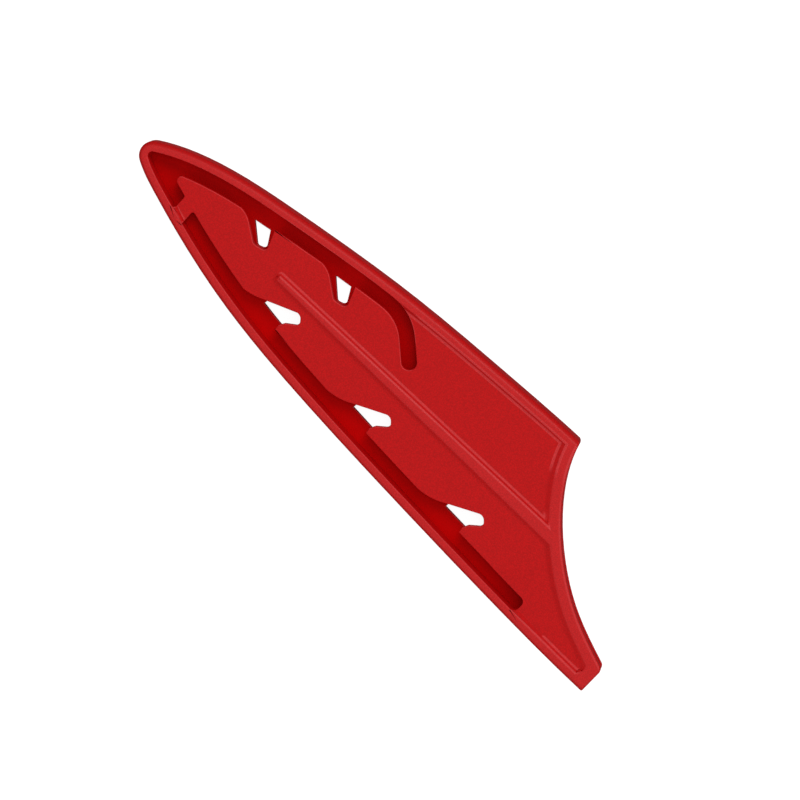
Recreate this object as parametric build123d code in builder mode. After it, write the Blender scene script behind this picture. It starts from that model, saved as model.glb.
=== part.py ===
"""A blade guard for a chef's knife: a flat plastic sheath with a slanted, hollow mouth.

Two mouldings are joined edge to edge by a tongue and groove. The back one is a plain tray with five
drain holes. The front one is a frame round a sunk plate, which two long slots turn into a light spring
that holds the blade. The knife slides in along X, its point towards -X and its spine towards +Y. The
guard lies on its back, with its front face up.
"""

import os

from build123d import *

# Overall size, in millimetres
guard_length = 216.3  # from the tip to the end of the spur
guard_height = 58.1  # from the spine side to the edge side

# Thickness, from the back to the front
back_wall = 1.6
blade_gap = 2.6
front_wall = 1.7
relief = 1.1  # depth of the plate below the frame

# Frame round the plate
rim_width = 3.1  # side walls of the blade pocket
lip_width = 3.4  # band round the mouth
spur_wall = 4.0  # end of the spur
relief_run = 1.2  # width of the slope from the frame down to the plate
lip_run = 2.0  # width of that slope along the lip
slope_gap = 0.1  # land between the slope and the wall of a slot
front_round = 1.8
back_bevel = 0.7
mouth_bevel = 0.5
spine_corner = 1.7
spur_corner = 1.9
heel_corner = 0.7
recess_end_round = 2.0

# Slots in the front plate, just inside the rim
slot_width = 4.9
nose_round = 1.5  # the plate's corner at the tip
slot_end_round = 1.9
strap_width = 4.9
strap_setback = 10.6  # from the plate's point to the strap's middle
edge_slot_end_share = 0.3518
hook_start_share = 0.545  # along the spine
hook_bend = 16.7
hook_turn = 49.0
hook_tail = 7.4

# Scallops that widen the slots, with a drain hole behind each
edge_scallop_length = 20.5
edge_scallop_depth = 9.6
edge_scallop_shares = (0.317, 0.518, 0.715)  # along the edge
spine_scallop_length = 14.5
spine_scallop_depth = 7.5
spine_scallop_shares = (0.292, 0.484)  # along the spine
wide_round = 2.2
end_round = 1.3
hole_round = 1.2
corner_round = 0.8
least_turn = 20.0  # angle of a corner that is rounded
hole_setback = 1.65  # from the plate's edge

# Rib along the plate, which runs into the lip
rib_start_share = -0.232
rib_end_share = 0.33
rib_top_share = 0.0655
rib_start_width = 4.0
rib_end_width = 6.4
rib_run = 1.6  # width of its slope towards the edge of the blade
rib_round = 1.2
rib_crest_round = 0.4

# Seam between the two mouldings
tongue_inset = 1.05  # from the outline
tongue_width = 1.0
tongue_height = 0.8
tongue_clearance = 0.3
seam_groove = 0.12  # bevel on the front one's side of the joint

line_points = 12  # steps along a line that runs beside another
overrun = 5.0  # how far a cut passes the face that it goes through

# Outline, in shares of the guard's length and height from its middle
tip_share = 0.051
spine_shares = [(-0.490, 0.118), (-0.443, 0.204), (-0.274, 0.350), (-0.073, 0.446), (0.128, 0.488), (0.2445, 0.5)]
edge_shares = [(-0.490, -0.016), (-0.443, -0.092), (-0.274, -0.271), (-0.073, -0.376), (0.128, -0.435)]
edge_shares += [(0.332, -0.481)]
mouth_shares = [(0.263, 0.363), (0.315, 0.089), (0.4075, -0.186)]
spur_share = -0.356
recess_end_share = -0.3995
mouth_top_angle = 76.0
mouth_end_angle = 20.0

plate_height = back_wall + blade_gap + front_wall
frame_height = plate_height + relief
seam_height = frame_height / 2
pocket_top = back_wall + blade_gap
half_length = guard_length / 2
half_height = guard_height / 2
far_x = half_length + rim_width + overrun
far_y = half_height + overrun
stations = sorted([(step / line_points) ** 1.5 for step in range(line_points + 1)] + [hook_start_share])
mouth_stations = (0, 0.25, 0.5, 0.75, 1)
plate_edge = rim_width + slot_width  # from the outline to the plate's edge along a slot


def place(shares):
    """Turn shares of the guard's length and height into points."""
    return [(guard_length * across, guard_height * up) for across, up in shares]


def beside(line, gap, stations):
    """Points at a distance from a line, below it for a line that runs towards +X."""
    return [line @ u + Vector((line % u).Y, -(line % u).X) * gap for u in stations]


def seat(line, gap, station):
    """A place beside a line, turned to run along it."""
    along = line % station
    return Plane(origin=beside(line, gap, [station])[0], x_dir=along, z_dir=(0, 0, 1)).location


def parallel(line, gap, stations):
    """A line that runs beside another one at a distance."""
    ends = [line % stations[0], line % stations[-1]]
    return Spline(*beside(line, gap, stations), tangents=ends, tangent_scalars=[1, 1])


def rim_area(gap):
    """The area at a small distance inside the outline, as if the guard ran on past its mouth."""
    with BuildSketch() as area:
        with BuildLine():
            high = parallel(spine, gap, stations)
            low = parallel(edge, -gap, stations)
            ThreePointArc(low @ 0, beside(tip, gap, [0.5])[0], high @ 0)
            Polyline(low @ 1, (far_x, (low @ 1).Y), (far_x, (high @ 1).Y), high @ 1)
        make_face()
    return area.sketch


def core_area(gap):
    """The area at a larger distance inside the outline, with a sharp corner behind the tip."""
    with BuildSketch() as area:
        with BuildLine():
            high = parallel(spine, gap, stations)
            start = high @ 0 - (high % 0) * half_height
            Polyline(high @ 1, (far_x, (high @ 1).Y), (far_x, -far_y), (start.X, -far_y), start, high @ 0)
        make_face()
        with BuildSketch(mode=Mode.INTERSECT):
            with BuildLine():
                low = parallel(edge, -gap, stations)
                start = low @ 0 - (low % 0) * half_height
                Polyline(low @ 1, (far_x, (low @ 1).Y), (far_x, far_y), (start.X, far_y), start, low @ 0)
            make_face()
    return area.sketch


def turn(line, faces):
    """The angle between the two faces that meet along a line."""
    normals = [face.normal_at(line @ 0.5) for face in faces if line in face.edges()]
    return normals[0].get_angle(normals[-1])


# The guard as if it ran on past the mouth
with BuildSketch() as blade_side:
    with BuildLine():
        tip = ThreePointArc(place(edge_shares)[0], (-half_length, guard_height * tip_share), place(spine_shares)[0])
        spine = Spline(*place(spine_shares), tangents=[tip % 1, (1, 0)], tangent_scalars=[1, 1])
        edge_end = (half_length - heel_corner, -half_height)
        edge = Spline(*place(edge_shares), edge_end, tangents=[-(tip % 0), (1, 0)], tangent_scalars=[1, 1])
        Polyline(edge @ 1, (far_x, -half_height), (far_x, half_height), spine @ 1)
    make_face()

# The mouth's line, from the spine to the spur
spur_centre = (half_length - spur_corner, guard_height * spur_share)
with BuildLine():
    corner = JernArc(spine @ 1, (1, 0), spine_corner, -mouth_top_angle)
    spur = CenterArc(spur_centre, spur_corner, 0, 90 - mouth_end_angle)
    mouth_ends = [corner % 1, -(spur % 1)]
    curve = Spline(corner @ 1, *place(mouth_shares), spur @ 1, tangents=mouth_ends, tangent_scalars=[1, 1])

pocket = rim_area(rim_width)


def mouth_area(gap):
    """The space beyond the mouth and the spur, which the knife's handle fills, wider by a gap."""
    with BuildSketch() as area:
        with BuildLine():
            top = CenterArc((spine @ 1) - (0, spine_corner), spine_corner - gap, 90, -mouth_top_angle)
            parallel(curve, gap, mouth_stations)
            end = CenterArc(spur_centre, spur_corner - gap, 0, 90 - mouth_end_angle)
            heel = CenterArc((edge @ 1) + (0, heel_corner), heel_corner - gap, -90, 90)
            Line(heel @ 1, end @ 0)
            foot = (edge @ 1) - (0, overrun)
            Polyline(heel @ 0, foot, (far_x, foot.Y), (far_x, far_y), ((spine @ 1).X, far_y), top @ 0)
        make_face()
    return area.sketch


def seam_ring(spread):
    """The strip of the rim that the tongue fills, wider by a clearance on all sides."""
    with BuildSketch() as ring:
        add(rim_area(tongue_inset - spread))
        add(rim_area(tongue_inset + tongue_width + spread), mode=Mode.SUBTRACT)
        with Locations(((spine @ 1).X - lip_width + spread, 0)):
            Rectangle(guard_length, guard_height, align=(Align.MAX, Align.CENTER), mode=Mode.INTERSECT)
    return ring.sketch


def recess_area(margin):
    """The area of the sunk plate, wider than its foot by a margin."""
    with BuildSketch() as area:
        add(core_area(rim_width + slope_gap + relief_run - margin))
        with BuildSketch(mode=Mode.SUBTRACT):
            with BuildLine():
                inner = parallel(curve, lip_width + lip_run * (1 - margin / relief_run), mouth_stations)
                above = inner @ 0 - (inner % 0) * overrun
                below = inner @ 1 + (inner % 1) * overrun
                Polyline(inner @ 1, below, (far_x, below.Y), (far_x, above.Y), above, inner @ 0)
            make_face()
        end = (half_length - spur_wall - relief_run - recess_end_round, guard_height * recess_end_share)
        with BuildSketch(mode=Mode.INTERSECT):
            with Locations(end):
                Circle(recess_end_round + margin)
            with Locations((end[0], 0)):
                Rectangle(guard_length - plate_edge, guard_height, align=(Align.MAX, Align.CENTER))
    return area.sketch


def rib_area(margin, height):
    """The area of the rib at a height above the plate, smaller than its foot by a margin."""
    slope = rib_run * height / relief
    with BuildSketch() as area:
        with BuildLine():
            top = guard_height * rib_top_share - margin
            foot = guard_height * rib_top_share + slope
            start = guard_length * rib_start_share + margin
            end = guard_length * rib_end_share
            Polyline((start, top), (end, top), (end, foot - rib_end_width), (start, foot - rib_start_width), (start, top))
        make_face()
        fillet(area.vertices().group_by(Axis.X)[0], rib_round - (rib_round - rib_crest_round) * height / relief)
    return area.sketch


# Scallops and holes, drawn with the slot along X and the plate beside it
with BuildSketch() as edge_scallop:
    with BuildLine():
        shares = [(-1, 0), (-0.459, 0.364), (0.0585, 1), (0.185, 0.73), (0.015, 0.39), (-0.027, 0.177), (-0.017, 0)]
        points = [(edge_scallop_length * a, edge_scallop_depth * b) for a, b in shares]
        TangentArc(points[0], points[1], tangent=(1, 0))
        Polyline(*points[1:], (points[-1][0], -slot_width / 2), (points[0][0], -slot_width / 2), points[0])
    make_face()
    fillet(edge_scallop.vertices().sort_by_distance(points[2])[0], wide_round)
    fillet(edge_scallop.vertices().sort_by_distance(points[3])[0], end_round)

with BuildSketch() as edge_hole:
    with BuildLine():
        shares = [(-0.424, 0), (-0.424, 0.3), (0.088, 0.93), (0.215, 0.655), (0.049, 0.317), (0.049, 0), (-0.424, 0)]
        points = [(edge_scallop_length * a, edge_scallop_depth * b) for a, b in shares]
        Polyline(*points)
    make_face()
    fillet(edge_hole.vertices().sort_by_distance(points[2])[0], wide_round)
    fillet(edge_hole.vertices().sort_by_distance(points[3])[0], end_round)

with BuildSketch() as spine_scallop:
    with BuildLine():
        shares = [(-1, 0), (-0.572, 0.347), (-0.234, 1), (0.086, 0.96), (-0.014, 0)]
        points = [(spine_scallop_length * a, -spine_scallop_depth * b) for a, b in shares]
        TangentArc(points[0], points[1], tangent=(1, 0))
        Polyline(*points[1:], (points[-1][0], slot_width / 2), (points[0][0], slot_width / 2), points[0])
    make_face()
    fillet(spine_scallop.vertices().sort_by_distance(points[2])[0], wide_round)
    fillet(spine_scallop.vertices().sort_by_distance(points[3])[0], end_round)

with BuildSketch() as spine_hole:
    with BuildLine():
        shares = [(-0.614, 0), (-0.159, 0), (0.035, 0.97), (-0.172, 1.05), (-0.614, 0)]
        points = [(spine_scallop_length * a, -spine_scallop_depth * b) for a, b in shares]
        Polyline(*points)
    make_face()
    fillet(spine_hole.vertices().group_by(Axis.Y)[0] + spine_hole.vertices().group_by(Axis.Y)[1], hole_round)

edge_seats = [seat(edge, -plate_edge, u) for u in edge_scallop_shares]
spine_seats = [seat(spine, plate_edge, u) for u in spine_scallop_shares]

with BuildSketch() as scallops:
    with Locations(*edge_seats):
        add(edge_scallop.sketch)
    with Locations(*spine_seats):
        add(spine_scallop.sketch)

with BuildSketch() as holes:
    with Locations(*edge_seats):
        add(edge_hole.sketch)
    with Locations(*spine_seats):
        add(spine_hole.sketch)
    add(core_area(plate_edge + hole_setback), mode=Mode.INTERSECT)

plate = core_area(plate_edge)
point = plate.vertices().sort_by(Axis.X)[0]

with BuildSketch() as slots:
    add(pocket)
    add(plate, mode=Mode.SUBTRACT)
    with Locations((point.X + strap_setback, guard_height * tip_share)):
        Rectangle(strap_width, far_y, align=(Align.CENTER, Align.MAX), mode=Mode.SUBTRACT)
    with Locations((guard_length * edge_slot_end_share, 0)):
        Rectangle(guard_length, far_y, align=(Align.MIN, Align.MAX), mode=Mode.SUBTRACT)
    with Locations(seat(spine, half_height, hook_start_share)):
        Rectangle(guard_length, guard_height, align=(Align.MIN, Align.MIN), mode=Mode.SUBTRACT)

with BuildSketch() as hook:
    with BuildLine():
        hook_start = beside(spine, rim_width + slot_width / 2, [hook_start_share])[0]
        bend = JernArc(hook_start, spine % hook_start_share, hook_bend, -hook_turn)
        tail = Line(bend @ 1, bend @ 1 + (bend % 1) * hook_tail)
    trace(line_width=slot_width)
    with Locations(tail @ 1):
        Circle(slot_width / 2)

os.makedirs("parts", exist_ok=True)

with BuildPart() as front_shell:
    with BuildSketch(Plane.XY.offset(seam_height)):
        add(blade_side.sketch)
    extrude(amount=frame_height - seam_height)
    top = front_shell.faces().filter_by(Axis.Z).sort_by(Axis.Z)[-1]
    fillet(top.edges().filter_by(Axis.Y, reverse=True), front_round)
    bottom = front_shell.faces().filter_by(Axis.Z).sort_by(Axis.Z)[0]
    chamfer(bottom.edges().filter_by(Axis.Y, reverse=True), seam_groove)
    for shape in (slots, hook, scallops):
        with BuildSketch(Plane.XY.offset(seam_height)):
            add(shape.sketch)
        extrude(amount=frame_height - seam_height, mode=Mode.SUBTRACT)
    faces = front_shell.faces()
    uprights = front_shell.edges().filter_by(Axis.Z).group_by(Edge.length)[-1]
    sharp = ShapeList([line for line in uprights if turn(line, faces) > least_turn]).sort_by(Axis.X)
    fillet(sharp[0], nose_round)
    fillet(sharp[-2:], slot_end_round)
    fillet(sharp[1:-2], corner_round)
    with BuildSketch(Plane.XY.offset(seam_height)):
        add(pocket)
    extrude(amount=pocket_top - seam_height, mode=Mode.SUBTRACT)
    with BuildSketch(Plane.XY.offset(plate_height)):
        add(recess_area(0))
    with BuildSketch(Plane.XY.offset(frame_height)):
        add(recess_area(relief_run))
    loft(ruled=True, mode=Mode.SUBTRACT)
    with BuildSketch(Plane.XY.offset(plate_height)):
        add(rib_area(0, 0))
    with BuildSketch(Plane.XY.offset(frame_height)):
        add(rib_area(relief_run, relief))
    loft(ruled=True)
    with BuildSketch(Plane.XY.offset(seam_height)):
        add(seam_ring(tongue_clearance))
    extrude(amount=tongue_height + tongue_clearance, mode=Mode.SUBTRACT)
    with BuildSketch(Plane.XY):
        add(mouth_area(0))
    extrude(amount=frame_height, mode=Mode.SUBTRACT)
    with BuildSketch(Plane.XY.offset(frame_height - mouth_bevel)):
        add(mouth_area(0))
    with BuildSketch(Plane.XY.offset(frame_height)):
        add(mouth_area(mouth_bevel))
    loft(ruled=True, mode=Mode.SUBTRACT)

front_shell.part.label = "front_shell"
export_step(front_shell.part, "parts/front_shell.step")

with BuildPart() as back_shell:
    with BuildSketch():
        add(blade_side.sketch)
    extrude(amount=seam_height)
    bottom = back_shell.faces().filter_by(Axis.Z).sort_by(Axis.Z)[0]
    chamfer(bottom.edges().filter_by(Axis.Y, reverse=True), back_bevel)
    with BuildSketch(Plane.XY.offset(back_wall)):
        add(pocket)
    extrude(amount=seam_height - back_wall, mode=Mode.SUBTRACT)
    with BuildSketch():
        add(holes.sketch)
    extrude(amount=back_wall, mode=Mode.SUBTRACT)
    with BuildSketch(Plane.XY.offset(seam_height)):
        add(seam_ring(0))
    extrude(amount=tongue_height)
    with BuildSketch(Plane.XY):
        add(mouth_area(0))
    extrude(amount=frame_height, mode=Mode.SUBTRACT)
    with BuildSketch(Plane.XY):
        add(mouth_area(mouth_bevel))
    with BuildSketch(Plane.XY.offset(mouth_bevel)):
        add(mouth_area(0))
    loft(ruled=True, mode=Mode.SUBTRACT)

back_shell.part.label = "back_shell"
export_step(back_shell.part, "parts/back_shell.step")
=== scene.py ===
import math

import bmesh
import bpy
from mathutils import Matrix, Vector


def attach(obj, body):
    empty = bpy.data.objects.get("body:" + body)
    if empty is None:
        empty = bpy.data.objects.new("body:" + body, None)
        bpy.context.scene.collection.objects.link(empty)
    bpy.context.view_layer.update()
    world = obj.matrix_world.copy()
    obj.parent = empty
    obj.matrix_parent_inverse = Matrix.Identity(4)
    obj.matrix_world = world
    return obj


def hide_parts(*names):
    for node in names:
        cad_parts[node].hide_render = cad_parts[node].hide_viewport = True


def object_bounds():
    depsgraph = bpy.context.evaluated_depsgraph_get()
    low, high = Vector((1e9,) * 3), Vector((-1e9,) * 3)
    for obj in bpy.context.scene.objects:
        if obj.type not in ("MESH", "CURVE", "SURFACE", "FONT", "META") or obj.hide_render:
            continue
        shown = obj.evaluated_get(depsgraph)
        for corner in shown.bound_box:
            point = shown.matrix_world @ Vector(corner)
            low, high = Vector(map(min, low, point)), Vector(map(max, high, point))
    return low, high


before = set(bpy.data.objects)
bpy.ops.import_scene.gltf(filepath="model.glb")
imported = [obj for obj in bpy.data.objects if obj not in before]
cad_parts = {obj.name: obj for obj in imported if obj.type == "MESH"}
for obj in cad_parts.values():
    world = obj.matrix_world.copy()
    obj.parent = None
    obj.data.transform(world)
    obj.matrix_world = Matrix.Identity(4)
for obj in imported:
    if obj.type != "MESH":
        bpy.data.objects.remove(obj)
bpy.context.view_layer.update()
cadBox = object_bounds()
print("frame loaded:", sorted(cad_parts))

mm = 0.001


class Value:
    # one socket of a material, so that its maths reads as maths

    def __init__(self, tree, socket):
        self.tree = tree
        self.socket = socket

    def join(self, operation, other, swapped=False):
        node = self.tree.nodes.new("ShaderNodeMath")
        node.operation = operation
        pair = (other, self) if swapped else (self, other)
        for slot, value in zip(node.inputs, pair):
            if isinstance(value, Value):
                self.tree.links.new(value.socket, slot)
            else:
                slot.default_value = value
        return Value(self.tree, node.outputs[0])

    def __add__(self, other):
        return self.join("ADD", other)

    def __radd__(self, other):
        return self.join("ADD", other, True)

    def __sub__(self, other):
        return self.join("SUBTRACT", other)

    def __rsub__(self, other):
        return self.join("SUBTRACT", other, True)

    def __mul__(self, other):
        return self.join("MULTIPLY", other)

    def __rmul__(self, other):
        return self.join("MULTIPLY", other, True)


class Paint:
    # the node tree of a material or of the room

    def __init__(self, tree):
        self.tree = tree
        tree.nodes.clear()

    def node(self, kind, settings=None, values=None, out=0):
        made = self.tree.nodes.new(kind)
        for name, value in (settings or {}).items():
            setattr(made, name, value)
        for name, value in (values or {}).items():
            socket = made.inputs[name]
            if isinstance(value, Value):
                self.tree.links.new(value.socket, socket)
            else:
                socket.default_value = value
        return Value(self.tree, made.outputs[out])

    def ramp(self, value, low, high):
        # 0 below low, 1 above high, smooth between
        return self.node("ShaderNodeMapRange", {"interpolation_type": "SMOOTHSTEP"},
                         {"Value": value, "From Min": low, "From Max": high})

    def mix(self, factor, first, second, blend="MIX"):
        pair = [(*colour, 1) if isinstance(colour, tuple) else colour
                for colour in (first, second)]
        return self.node("ShaderNodeMix", {"data_type": "RGBA", "blend_type": blend},
                         {0: factor, 6: pair[0], 7: pair[1]}, out=2)

    def place(self):
        # where on the piece, in its own coordinates
        return self.node("ShaderNodeTexCoord", out=3)

    def facing(self, which):
        # which way the surface looks
        return self.part(self.node("ShaderNodeNewGeometry", out=1), which)

    def noise(self, place, scale, detail, roughness=0.5):
        return self.node("ShaderNodeTexNoise", {}, {
            "Vector": place, "Scale": scale, "Detail": detail, "Roughness": roughness})

    def plastic(self, values):
        return self.node("ShaderNodeBsdfPrincipled", {}, values)

    def part(self, vector, which):
        return self.node("ShaderNodeSeparateXYZ", values={0: vector}, out=which)

    def finish(self, shader, kind="ShaderNodeOutputMaterial"):
        made = self.tree.nodes.new(kind)
        self.tree.links.new(shader.socket, made.inputs[0])


def newMaterial(name):
    material = bpy.data.materials.new(name)
    material.use_nodes = True
    return material


plasticIor = 1.49


# red plastic as it left the mould: an even grain on the plate, smoother lands
skin = {
    "plate": (0.47, 0.0016, 0.0022),
    # the lands' paler colour is partly their smoother finish and partly painted sheen
    "land": (0.505, 0.0105, 0.0115),
    "landHeight": (6.7 * mm, 6.95 * mm),   # where the plate's finish turns into the land's
    "plateRoughness": 0.5,
    "landRoughness": 0.36,
    "cloudScale": 90.0,
    "cloudRoughness": 0.08,
    "gloss": 0.25,   # specular level
    "grainScale": 2600,
    "grainDetail": 3.0,
    "grainRoughness": 0.6,
    "grainRange": (0.35, 0.7),
    "grainDepth": 0.035 * mm,
    "grainStrength": 0.6,
    "grainContrast": 0.16,
    "landSmooth": 0.85,   # share of the grain that the lands lack
    "wallHeight": (0.0 * mm, 3.6 * mm),   # painted shade: side walls darken down to the bench
    "paintedWallShade": 0.16,
}

# painted highlight: rounded edges near the spine, or that face it, are a little paler
edges = {
    "tone": (0.56, 0.028, 0.03),
    "outer": (15 * mm, 18 * mm),
    "facing": (0.05, 0.35),
}


def mouldedSkin(name, values, edgeHighlight=None):
    material = newMaterial(name)
    paint = Paint(material.node_tree)
    place = paint.place()
    height = paint.part(place, 2)
    land = paint.ramp(height, *values["landHeight"])
    grain = paint.noise(place, values["grainScale"], values["grainDetail"],
                        values["grainRoughness"])
    cloud = paint.noise(place, values["cloudScale"], 2.0)
    # the lands' paler tone is partly painted sheen
    colour = paint.mix(land, values["plate"], values["land"])
    # painted highlight on edges near the spine or facing it
    if edgeHighlight:
        outer = paint.ramp(paint.part(place, 1), *edgeHighlight["outer"])
        spineward = paint.ramp(paint.facing(1), *edgeHighlight["facing"])
        highlightMask = 1 - (1 - outer) * (1 - spineward)
        colour = paint.mix(highlightMask, colour, edgeHighlight["tone"])
    low, high = 1 - values["grainContrast"], 1 + values["grainContrast"]
    speck = paint.mix(paint.ramp(grain, *values["grainRange"]), (low,) * 3, (high,) * 3)
    colour = paint.mix(1.0, colour, speck, "MULTIPLY")
    # painted shade: side walls are darkened towards the bench
    upward = paint.facing(2)
    wall = (1 - upward * upward) * (1 - paint.ramp(height, *values["wallHeight"]))
    shadeFactor = 1 - values["paintedWallShade"]
    colour = paint.mix(wall, colour, paint.mix(1.0, colour, (shadeFactor,) * 3, "MULTIPLY"))
    rough = values["plateRoughness"] + land * (values["landRoughness"] - values["plateRoughness"])
    rough = rough + (cloud - 0.5) * values["cloudRoughness"]
    bump = paint.node("ShaderNodeBump", {}, {
        "Height": (1 - land * values["landSmooth"]) * grain,
        "Distance": values["grainDepth"],
        "Strength": values["grainStrength"],
    })
    paint.finish(paint.plastic({
        "Base Color": colour,
        "Roughness": rough,
        "Normal": bump,
        "IOR": plasticIor,
        "Specular IOR Level": values["gloss"],
    }))
    return material


# the inside of the pocket, which is matt, with painted shade: its colour is darker and deeper red
# than the plate's
pocketShade = {
    "colour": (0.49, 0.0005, 0.0008),
    "roughness": 0.6,
    "roughnessSpread": 0.1,
    "gloss": 0.04,
    "streakScale": 400,
    "contrast": 0.08,
}


def pocketShadeSkin(name, values):
    material = newMaterial(name)
    paint = Paint(material.node_tree)
    streak = paint.noise(paint.place(), values["streakScale"], 4.0)
    low, high = 1 - values["contrast"], 1 + values["contrast"]
    tone = paint.mix(streak, (low,) * 3, (high,) * 3)
    paint.finish(paint.plastic({
        "Base Color": paint.mix(1.0, values["colour"], tone, "MULTIPLY"),
        "Roughness": values["roughness"] + (streak - 0.5) * values["roughnessSpread"],
        "IOR": plasticIor,
        "Specular IOR Level": values["gloss"],
    }))
    return material


red = mouldedSkin("redPlastic", skin)
edged = mouldedSkin("edgeHighlightPlastic", skin, edges)
dark = pocketShadeSkin("pocketShadePlastic", pocketShade)
plastics = (red, dark, edged)
print("materials made:", [material.name for material in plastics])

# how a moulding is finished
finish = {
    "mergeGap": 0.001 * mm,
    "sharpAngle": 35,   # an unrounded corner above this stays crisp
    "levelGap": 0.02 * mm,
    "normalWeight": 50,
}


def merged(node):
    # a closed copy of a CAD node's loose triangles
    made = bmesh.new()
    made.from_mesh(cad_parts[node].data)
    bmesh.ops.remove_doubles(made, verts=made.verts, dist=finish["mergeGap"])
    return made


def settled(piece):
    # the modifiers become plain mesh, and no rounding may reach past the solids
    bpy.context.view_layer.update()
    graph = bpy.context.evaluated_depsgraph_get()
    mesh = bpy.data.meshes.new_from_object(
        piece.evaluated_get(graph), preserve_all_data_layers=True, depsgraph=graph)
    piece.modifiers.clear()
    piece.data = mesh
    for vert in mesh.vertices:
        for axis in range(3):
            vert.co[axis] = min(max(vert.co[axis], cadBox[0][axis]), cadBox[1][axis])


def rounded(made, name, width, values, inside=None):
    # width gives each edge its own rounding; inside says which faces are the pocket's
    weight = made.edges.layers.float.new("bevel_weight_edge")
    widest = values["widest"]
    sharpAngle = math.radians(finish["sharpAngle"])
    for edge in made.edges:
        edge[weight] = width(edge, values) / widest
        edge.smooth = edge[weight] > 0 or edge.calc_face_angle() < sharpAngle
    count = sum(1 for edge in made.edges if edge[weight] > 0)
    for face in made.faces:
        face.smooth = True
        face.material_index = 1 if inside and inside(face) else 0
    mesh = bpy.data.meshes.new(name)
    made.to_mesh(mesh)
    made.free()
    for material in plastics:
        mesh.materials.append(material)
    piece = bpy.data.objects.new(name, mesh)
    bpy.context.scene.collection.objects.link(piece)
    bevel = piece.modifiers.new("edges", "BEVEL")
    bevel.width = widest
    bevel.segments = values["steps"]
    bevel.limit_method = "WEIGHT"
    bevel.use_clamp_overlap = False
    bevel.loop_slide = False
    # the bevel's faces take the edge material, with its painted highlight
    bevel.material = len(plastics) - 1
    normals = piece.modifiers.new("normals", "WEIGHTED_NORMAL")
    normals.weight = finish["normalWeight"]
    normals.keep_sharp = True
    settled(piece)
    print(name, count, "edges rounded")
    return piece


def level(item, height):
    return all(abs(vert.co.z - height) < finish["levelGap"] for vert in item.verts)


# front moulding
front = {
    "plateHeight": 5.9 * mm,
    "frameHeight": 7.0 * mm,
    # x, y and reach of the spots that are left sharp
    "plain": ((-20.4 * mm, 23.5 * mm, 2.5 * mm), (76 * mm, -21.5 * mm, 3.5 * mm)),
    # a nick in the frame at the tip, which is filled
    "notch": ((-105.3 * mm, -104.7 * mm), (2.0 * mm, 4.0 * mm)),
    "notchHeight": 6.4 * mm,
    "joinHeight": 6.98 * mm,
    "joinGap": 0.13 * mm,      # short steps in the frame's inner edge that are merged
    "flatAngle": 14,           # corners below this are part of a curve
    "slopeAngle": 48,          # corners above this are walls, not slopes
    "wallHeight": 6.3 * mm,
    "widest": 0.5 * mm,
    "steps": 3,
    "plateEdge": 0.3 * mm,     # round the slots and scallops
    "crest": 0.45 * mm,        # where the frame and the rib start to slope down
    "foot": 0.5 * mm,          # where that slope meets the plate
    "wallTop": 0.25 * mm,      # rim above the slots
}


def frontWidth(edge, values):
    angle = math.degrees(edge.calc_face_angle())
    if angle < values["flatAngle"]:
        return 0
    if any(math.dist(vert.co[:2], spot[:2]) < spot[2]
           for vert in edge.verts for spot in values["plain"]):
        return 0
    high = all(vert.co.z > values["wallHeight"] for vert in edge.verts)
    if edge.is_convex and angle > values["slopeAngle"] and high:
        return values["wallTop"]
    if level(edge, values["frameHeight"]) and angle < values["slopeAngle"]:
        return values["crest"]
    if level(edge, values["plateHeight"]):
        return values["plateEdge"] if edge.is_convex else values["foot"]
    return 0


made = merged("front_shell")
for vert in made.verts:
    inNotch = all(low < value < high for value, (low, high) in zip(vert.co, front["notch"]))
    if inNotch and vert.co.z > front["notchHeight"]:
        vert.co.z = front["frameHeight"]
top = [vert for vert in made.verts if vert.co.z > front["joinHeight"]]
bmesh.ops.remove_doubles(made, verts=top, dist=front["joinGap"])
frontMoulding = rounded(made, "frontMoulding", frontWidth, front)
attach(frontMoulding, "root")
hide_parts("front_shell")

# back moulding
back = {
    "wall": 1.6 * mm,
    "widest": 0.25 * mm,
    "steps": 2,
    "holes": 0.2 * mm,
    "bottom": 0.25 * mm,
    "chamfers": (0.7 * mm, 0.5 * mm),   # heights where the bottom's and the mouth's chamfer end
    "cornerAngle": 30,                  # corners below this stay as they are
    "holeAngle": 60,                    # a hole's corner at the bottom is above this
}


def backWidth(edge, values):
    angle = math.degrees(edge.calc_face_angle())
    if angle < values["cornerAngle"] or not edge.is_convex:
        return 0
    if level(edge, 0.0):
        return values["holes"] if angle > values["holeAngle"] else values["bottom"]
    if level(edge, values["wall"]):
        return values["holes"]
    if any(level(edge, height) for height in values["chamfers"]):
        return values["bottom"]
    return 0


# the pocket floor, which takes the darker material of painted shade
def backInside(face):
    return face.normal.z > 0.9 and level(face, back["wall"])


made = merged("back_shell")
backMoulding = rounded(made, "backMoulding", backWidth, back, backInside)
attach(backMoulding, "root")
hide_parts("back_shell")

# floor, which shows the object's own faint shadow and gives it no light
floor = {"size": 8.0, "drop": 0.05 * mm, "tone": 0.3, "toneSpread": 1.02, "glow": 0.9}


def paleFloor():
    material = newMaterial("paleFloor")
    paint = Paint(material.node_tree)
    cloud = paint.noise(paint.place(), 3.0, 2.0)
    tone = floor["tone"]
    paint.finish(paint.plastic({
        "Base Color": paint.mix(cloud, (tone,) * 3, (tone * floor["toneSpread"],) * 3),
        "Roughness": 0.8,
        "Specular IOR Level": 0.0,
        "Emission Color": (1, 1, 1, 1),
        "Emission Strength": floor["glow"],
    }))
    return material


mesh = bpy.data.meshes.new("floor")
half = floor["size"] / 2
low = cadBox[0].z - floor["drop"]
corners = [(-half, -half, low), (half, -half, low), (half, half, low), (-half, half, low)]
mesh.from_pydata(corners, [], [(0, 1, 2, 3)])
ground = bpy.data.objects.new("floor", mesh)
bpy.context.scene.collection.objects.link(ground)
ground.data.materials.append(paleFloor())
ground.visible_diffuse = False
ground.visible_glossy = False
print("floor laid")

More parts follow.
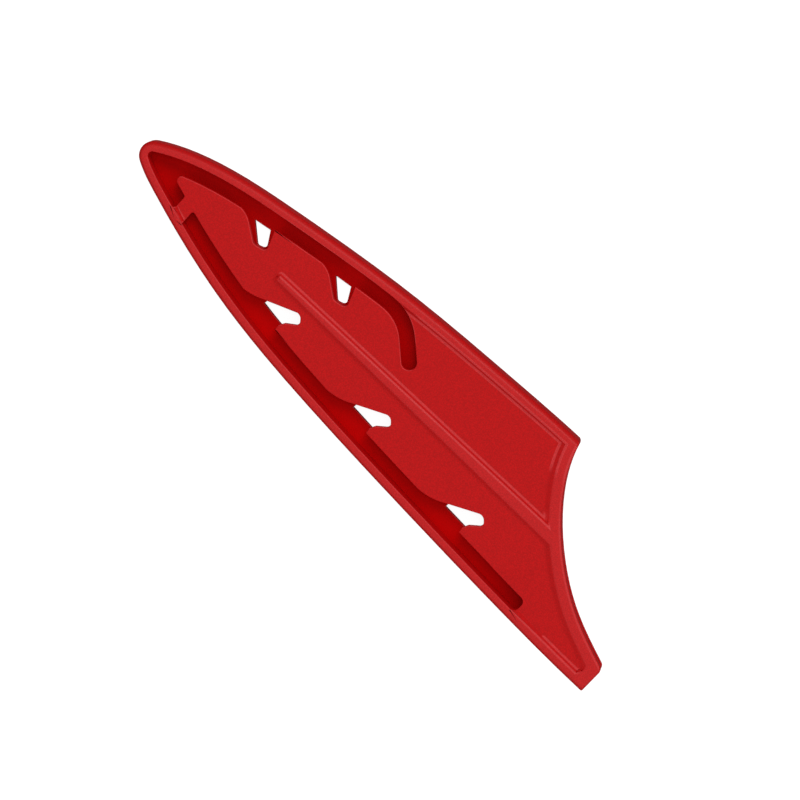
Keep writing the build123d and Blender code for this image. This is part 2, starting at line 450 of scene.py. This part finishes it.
# lights: tilt is degrees from straight above, around is degrees from +X towards +Y
lights = {
    "keySoft": {"distance": 1.25, "tilt": 50, "around": 105,
                "size": 0.8, "watts": 7.6, "shine": False},
    "sideSoft": {"distance": 1.2, "tilt": 62, "around": 0,
                 "size": 0.5, "watts": 3.0, "shine": False},
    "fillSoft": {"distance": 1.2, "tilt": 62, "around": 270,
                 "size": 0.5, "watts": 2.8, "shine": False},
    "topSoft": {"distance": 1.2, "tilt": 20, "around": 95,
                "size": 0.3, "watts": 1.4, "shine": True},
}
for name, values in lights.items():
    lamp = bpy.data.lights.new(name, "AREA")
    lamp.shape = "DISK"
    lamp.size = values["size"]
    lamp.energy = values["watts"]
    tilt, around = math.radians(values["tilt"]), math.radians(values["around"])
    towards = Vector((math.sin(tilt) * math.cos(around),
                      math.sin(tilt) * math.sin(around),
                      math.cos(tilt)))
    holder = bpy.data.objects.new(name, lamp)
    holder.location = towards * values["distance"]
    holder.rotation_mode = "QUATERNION"
    holder.rotation_quaternion = (-towards).to_track_quat("-Z", "Y")
    holder.visible_glossy = values["shine"]
    bpy.context.scene.collection.objects.link(holder)

room = {"above": 0.5, "below": 0.15, "rise": (-0.1, 0.5)}
world = bpy.data.worlds.new("softRoom")
world.use_nodes = True
paint = Paint(world.node_tree)
rise = paint.ramp(paint.part(paint.node("ShaderNodeTexCoord", out=0), 2), *room["rise"])
strength = room["below"] + rise * (room["above"] - room["below"])
sky = paint.node("ShaderNodeBackground", {}, {"Color": (1, 1, 1, 1), "Strength": strength})
paint.finish(sky, "ShaderNodeOutputWorld")
bpy.context.scene.world = world
bpy.context.scene.view_settings.view_transform = "Standard"
print("lights set:", sorted(lights))

# camera
camera = {
    "lookAt": (4.44 * mm, -0.75 * mm, 3.6 * mm),
    "distance": 1.0,
    "lean": 13,            # degrees from straight above, towards the spine
    "turn": 43,            # degrees that the guard slopes down across the picture
    "lens": 144.2,
    "sensor": 36,
    "farthest": 10,
}
lean = math.radians(camera["lean"])
turn = math.radians(camera["turn"])
sight = Vector((0, math.sin(lean), math.cos(lean)))
across = Vector((0, math.cos(lean), -math.sin(lean)))
right = Vector((math.cos(turn), 0, 0)) + across * math.sin(turn)
up = Vector((-math.sin(turn), 0, 0)) + across * math.cos(turn)
eye = bpy.data.cameras.new("camera")
eye.lens = camera["lens"]
eye.sensor_width = camera["sensor"]
eye.clip_end = camera["farthest"]
holder = bpy.data.objects.new("camera", eye)
placed = Vector(camera["lookAt"]) + sight * camera["distance"]
holder.matrix_world = Matrix((
    (right.x, up.x, sight.x, placed.x),
    (right.y, up.y, sight.y, placed.y),
    (right.z, up.z, sight.z, placed.z),
    (0, 0, 0, 1),
))
bpy.context.scene.collection.objects.link(holder)
bpy.context.scene.camera = holder
print("camera placed")

bpy.context.view_layer.update()
